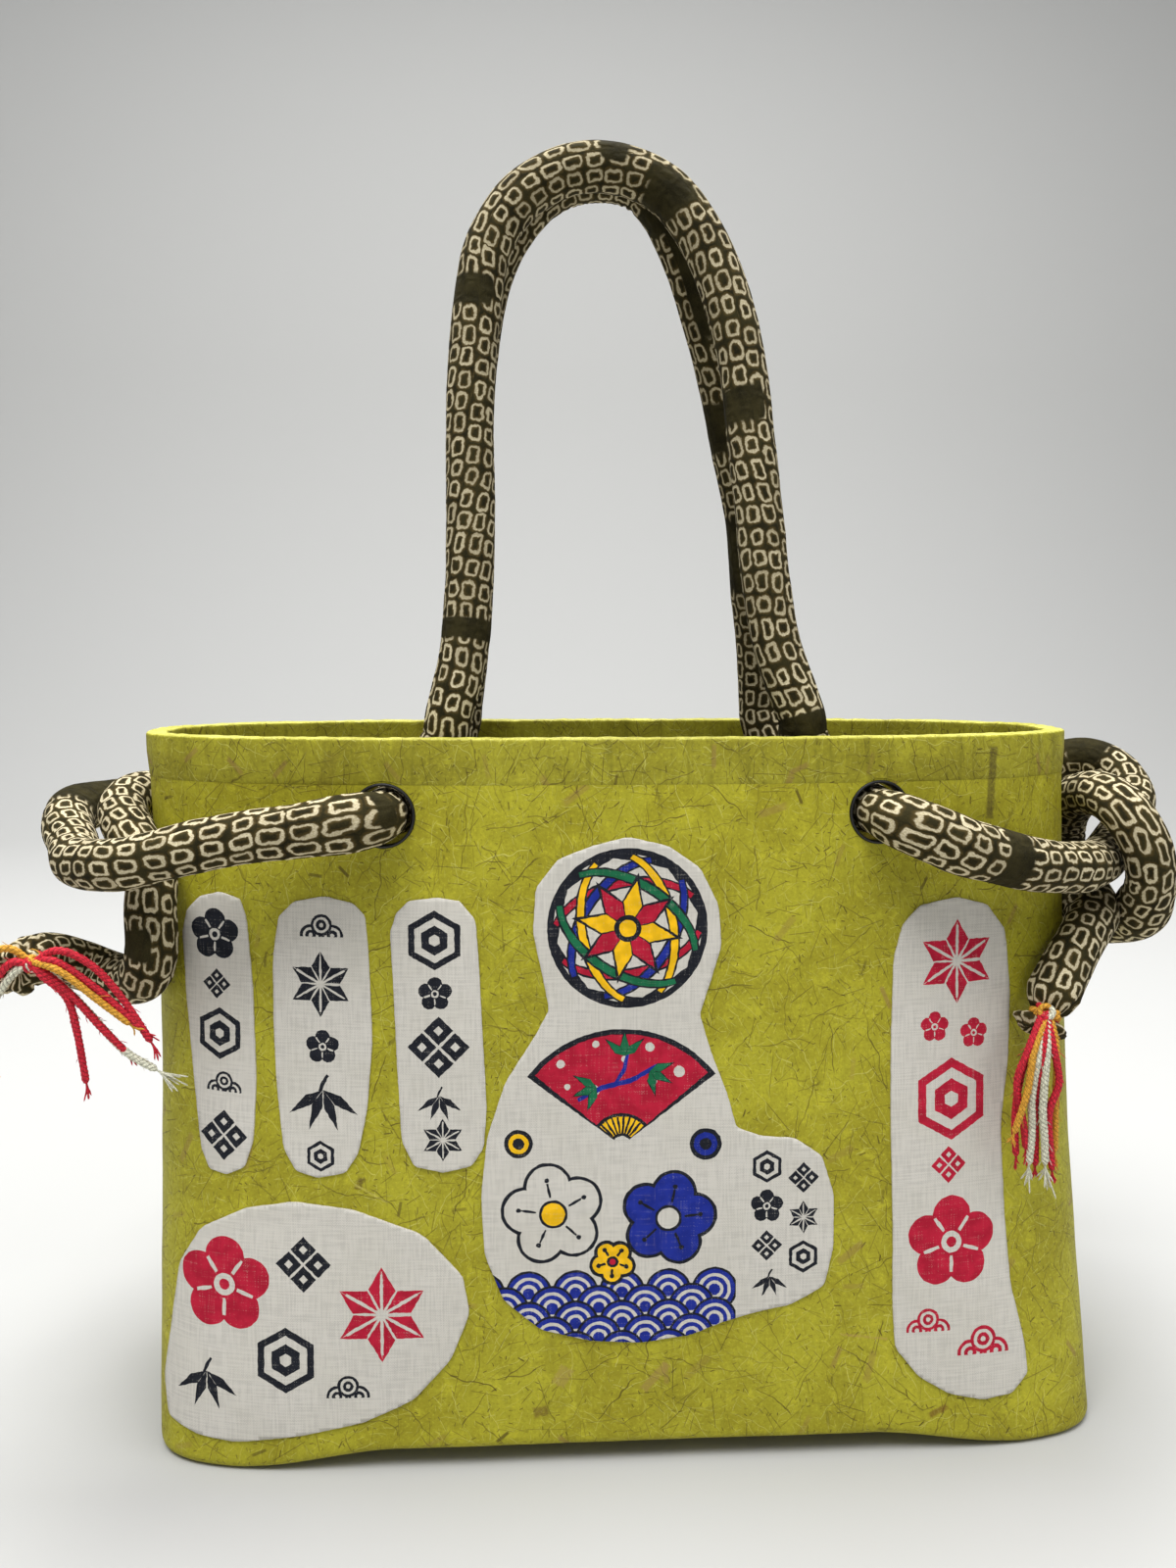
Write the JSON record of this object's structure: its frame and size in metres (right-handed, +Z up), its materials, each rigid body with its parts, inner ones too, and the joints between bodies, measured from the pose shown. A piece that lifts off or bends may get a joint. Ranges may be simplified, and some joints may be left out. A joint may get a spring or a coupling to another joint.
{
  "type": "lacquered paper basket bag",
  "caption": "Oval-mouthed basket bag covered in lacquered fibre paper, with cotton patches on its front, stuffed cloth rope handles knotted at the sides and yarn tassels.",
  "frame": {"origin": "on the floor, under the middle of the basket", "axes": "+Z up, +X to the right as seen from the front, -Y towards the front with the patches"},
  "size_m": [0.4152, 0.1433, 0.433],
  "materials": {
    "core": "plain paper-band weave",
    "fibre_paper": "satin lacquer over paper with long brown fibres",
    "lining_paper": "matt",
    "board": "matt",
    "hole_ring": "dark gloss",
    "patch_cotton": "woven cotton, matt",
    "rope_cloth": "dark olive cloth with cream rings, matt",
    "yarn_orange": "twisted wool",
    "yarn_red": "twisted wool"
  },
  "bodies": {
    "root": {"basket_core": "core", "outer_paper": "fibre_paper", "inner_lining": "lining_paper", "base_board": "board", "rim_band": "fibre_paper", "hole_liner_front_left": "hole_ring", "hole_liner_front_right": "hole_ring", "hole_liner_rear_left": "hole_ring", "hole_liner_rear_right": "hole_ring", "patch_a": "patch_cotton", "patch_b": "patch_cotton", "patch_c": "patch_cotton", "patch_d": "patch_cotton", "patch_e": "patch_cotton", "patch_f": "patch_cotton", "rope_front_left": "rope_cloth", "tassel_tie_front_left": "yarn_orange", "rope_rear_left": "rope_cloth", "tassel_tie_rear_left": "yarn_orange", "rope_front_right": "rope_cloth", "tassel_tie_front_right": "yarn_orange", "rope_rear_right": "rope_cloth", "tassel_tie_rear_right": "yarn_orange"},
    "front_handle": {"front_handle_arch": "rope_cloth"},
    "rear_handle": {"rear_handle_arch": "rope_cloth"},
    "tassel_rear_right_swing": {"tassel_rear_right": "yarn_red"},
    "tassel_rear_left_swing": {"tassel_rear_left": "yarn_red"},
    "tassel_front_right_swing": {"tassel_front_right": "yarn_red"},
    "tassel_front_left_swing": {"tassel_front_left": "yarn_red"}
  },
  "joints": [
    {"name": "front_handle_fold", "type": "hinge", "parent": "root", "child": "front_handle", "pos_m": [0, -0.0345, 0.243], "axis": [1, 0, 0], "range_deg": [0, 70]},
    {"name": "rear_handle_fold", "type": "hinge", "parent": "root", "child": "rear_handle", "pos_m": [0, 0.0345, 0.243], "axis": [-1, 0, 0], "range_deg": [0, 70]},
    {"name": "tassel_rear_right_swing", "type": "hinge", "parent": "root", "child": "tassel_rear_right_swing", "pos_m": [0.1386, -0.0608, 0.1463], "axis": [-1, 0, 0], "range_deg": [0, 25]},
    {"name": "tassel_rear_left_swing", "type": "hinge", "parent": "root", "child": "tassel_rear_left_swing", "pos_m": [-0.1811, -0.0517, 0.1643], "axis": [-1, 0, 0], "range_deg": [0, 25]},
    {"name": "tassel_front_right_swing", "type": "hinge", "parent": "root", "child": "tassel_front_right_swing", "pos_m": [0.1722, 0.062, 0.1649], "axis": [1, 0, 0], "range_deg": [0, 25]},
    {"name": "tassel_front_left_swing", "type": "hinge", "parent": "root", "child": "tassel_front_left_swing", "pos_m": [-0.1597, 0.0653, 0.1658], "axis": [1, 0, 0], "range_deg": [0, 25]}
  ]
}
